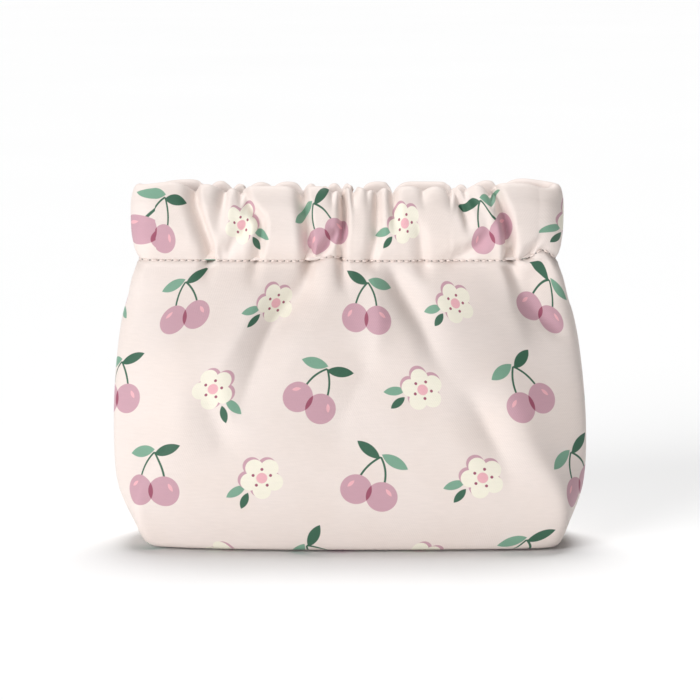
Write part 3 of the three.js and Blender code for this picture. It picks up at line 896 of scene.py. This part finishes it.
def cloth_surface(g, place, amount):
    """Fine weave, faint unevenness and a soft sheen."""
    u, v, _ = g.split(place)
    warp = thread_waves(g, g.math("ADD", u, g.math("MULTIPLY", v, WARP["slant"])), WARP)
    weft = thread_waves(g, g.math("SUBTRACT", v, g.math("MULTIPLY", u, WEFT["slant"])), WEFT)
    threads = g.math("ADD", warp, weft)
    slub = g.noise(g.vector("MULTIPLY", place, SLUB_SCALE), 1.0, SLUB_DETAIL)
    relief = g.math("MULTIPLY", slub, SLUB_HEIGHT)
    height = g.math("ADD", g.math("MULTIPLY", threads, THREAD_HEIGHT), relief)
    bump = g.node("ShaderNodeBump")
    bump.inputs["Strength"].default_value = amount
    bump.inputs["Distance"].default_value = MM
    g.feed(bump.inputs["Height"], height)
    g.feed(g.shader.inputs["Normal"], bump.outputs[0])
    g.feed(g.shader.inputs["Roughness"], g.ramp(slub, *NOISE_MIDDLE, *CLOTH_ROUGHNESS, "LINEAR"))
    g.shader.inputs["Specular IOR Level"].default_value = CLOTH_SPECULAR
    g.shader.inputs["Sheen Weight"].default_value = CLOTH_SHEEN
    g.shader.inputs["Sheen Roughness"].default_value = CLOTH_SHEEN_ROUGHNESS
    return threads, slub


def cloth_place(g):
    """Place on the flat cloth in mm."""
    return g.node("ShaderNodeUVMap", uv_map="cloth").outputs[0]


def needle_hole_shade(g, place, seam_v):
    """Where painted shade darkens the needle holes: 1 at the holes between the stitches, 0 elsewhere."""
    u, v, _ = g.split(place)
    share = g.math("FRACT", g.math("DIVIDE", u, STITCH_PITCH))
    along_line = g.math("MULTIPLY", g.math("SUBTRACT", share, 0.5), STITCH_PITCH)
    aside = g.math("SUBTRACT", STITCH_PITCH / 2, g.math("ABSOLUTE", along_line))
    away = g.vector("LENGTH", g.xyz(aside, g.math("SUBTRACT", v, seam_v)))
    return g.ramp(away, HOLE_RADIUS * HOLE_STARTS, HOLE_RADIUS * HOLE_FULL)


def printed_cloth(seam_v):
    """The outside of the cloth, with its print and painted shade in the needle holes at the stitch line."""
    g = Graph("printed_cloth")
    place = cloth_place(g)
    threads, slub = cloth_surface(g, place, OUTSIDE_BUMP)
    cloud = g.noise(place, CLOUD_SCALE)
    ground = g.mix(g.ramp(cloud, *NOISE_MIDDLE), GROUND, GROUND_CLOUD)
    colour = pattern(g, place, ground)
    slub_shade = g.ramp(slub, *SLUB_SHADE_FROM, *SLUB_SHADE, "LINEAR")
    shade = g.math("ADD", slub_shade, g.math("MULTIPLY", threads, THREAD_SHADE))
    # Painted shade: the colour is darkened at the needle holes between the stitches
    shade = g.math("MULTIPLY", shade, g.ramp(needle_hole_shade(g, place, seam_v), 0.0, 1.0, 1.0, HOLE_SHADE))
    g.feed(g.shader.inputs["Base Color"], g.scaled(colour, shade))
    return g.material


def plain_cloth():
    """The inside of the cloth."""
    g = Graph("cloth_inside")
    place = cloth_place(g)
    _, slub = cloth_surface(g, place, INSIDE_BUMP)
    g.feed(g.shader.inputs["Base Color"], g.mix(g.ramp(slub, *NOISE_MIDDLE), *INSIDE))
    return g.material


def thread():
    g = Graph("thread")
    place = g.node("ShaderNodeTexCoord").outputs["Object"]
    twist = g.noise(place, TWIST_SCALE)
    g.feed(g.shader.inputs["Base Color"], g.mix(g.ramp(twist, *NOISE_MIDDLE), *THREAD))
    g.shader.inputs["Roughness"].default_value = THREAD_ROUGHNESS
    return g.material


def spring_steel():
    g = Graph("spring_steel")
    place = g.node("ShaderNodeTexCoord").outputs["Object"]
    brushed = g.noise(g.vector("MULTIPLY", place, BRUSH_SCALE), 1.0, BRUSH_DETAIL)
    g.feed(g.shader.inputs["Roughness"], g.ramp(brushed, *NOISE_MIDDLE, *STEEL_ROUGHNESS))
    g.feed(g.shader.inputs["Base Color"], g.mix(brushed, *STEEL))
    g.shader.inputs["Metallic"].default_value = 1.0
    return g.material


def stage_surface():
    g = Graph("stage_white")
    place = g.node("ShaderNodeTexCoord").outputs["Object"]
    g.feed(g.shader.inputs["Base Color"], g.mix(g.noise(place, STAGE_SCALE), *STAGE))
    g.shader.inputs["Roughness"].default_value = STAGE_ROUGHNESS
    g.shader.inputs["Specular IOR Level"].default_value = STAGE_SPECULAR
    return g.material


def build_stage():
    """A wide plain floor."""
    half = STAGE_HALF / MM
    corners = [(-half, -half, 0), (half, -half, 0), (half, half, 0), (-half, half, 0)]
    new_piece("stage_floor", corners, [(0, 1, 2, 3)], np.zeros((4, 2)), [stage_surface()])


def build_light():
    """An even white studio with two broad soft lights."""
    world = bpy.data.worlds.new("studio")
    bpy.context.scene.world = world
    world.use_nodes = True
    backing = world.node_tree.nodes["Background"]
    backing.inputs["Color"].default_value = (1, 1, 1, 1)
    backing.inputs["Strength"].default_value = STUDIO_LIGHT
    for name, light in LIGHTS.items():
        lamp = bpy.data.lights.new(name, "SUN")
        lamp.energy = light["energy"]
        lamp.angle = light["spread"]
        holder = bpy.data.objects.new(name, lamp)
        holder.rotation_euler = Vector(light["towards"]).to_track_quat("-Z", "Y").to_euler()
        bpy.context.scene.collection.objects.link(holder)


def build_camera():
    """The photo's camera, which looks down a little at the front."""
    camera = bpy.data.cameras.new("camera")
    camera.sensor_width = SENSOR_WIDTH
    camera.lens = camera.sensor_width * VIEW_DISTANCE / VIEW_WIDTH
    camera.clip_end = VIEW_FAR
    holder = bpy.data.objects.new("camera", camera)
    back = Vector((0, -math.cos(VIEW_ELEVATION), math.sin(VIEW_ELEVATION)))
    holder.location = VIEW_CENTRE + back * VIEW_DISTANCE
    holder.rotation_euler = (-back).to_track_quat("-Z", "Y").to_euler()
    bpy.context.scene.collection.objects.link(holder)
    bpy.context.scene.camera = holder


build_camera()
build_light()
build_stage()
bpy.context.scene.view_settings.view_transform = "Standard"

rows, seam, lip = front_cloth()
levels = rows[:, 0, 2]
rows = settle(rows, seam, lip)
u = np.repeat(np.linspace(0, CUT_ROUND / 2, COLUMNS)[None], len(rows), 0)
v = np.repeat(column_measure(rows)[:, None], COLUMNS, 1)
cloth_materials = [printed_cloth(float(v[seam, 0])), plain_cloth()]
leans = np.array([section("lean", min(z, SEAM_Z)) for z in levels])
turned_rows = turned_round(rows, leans)
wall = np.s_[: seam + 1, ::BODY_COLUMN_STEP]
body = body_piece(rows[wall], turned_rows[wall], u[wall], v[wall], cloth_materials)
front = casing_piece("front_casing_cloth", rows[seam:], u[seam:], v[seam:], cloth_materials)
back_u = u[seam:] + CUT_ROUND / 2
back = casing_piece("back_casing_cloth", turned_rows[seam:], back_u, v[seam:], cloth_materials)
stitches = stitch_piece([(rows[seam], u[seam]), (turned_rows[seam], u[seam])], thread())

for piece, node, slot in (
    (body, "pouch_body", "body_cloth"),
    (front, "front_casing", "casing_cloth"),
    (back, "back_casing", "casing_cloth"),
):
    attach(piece, "root")
    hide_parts(node)
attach(stitches, "root")
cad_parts["spring_frame"].data.materials.clear()
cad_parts["spring_frame"].data.materials.append(spring_steel())
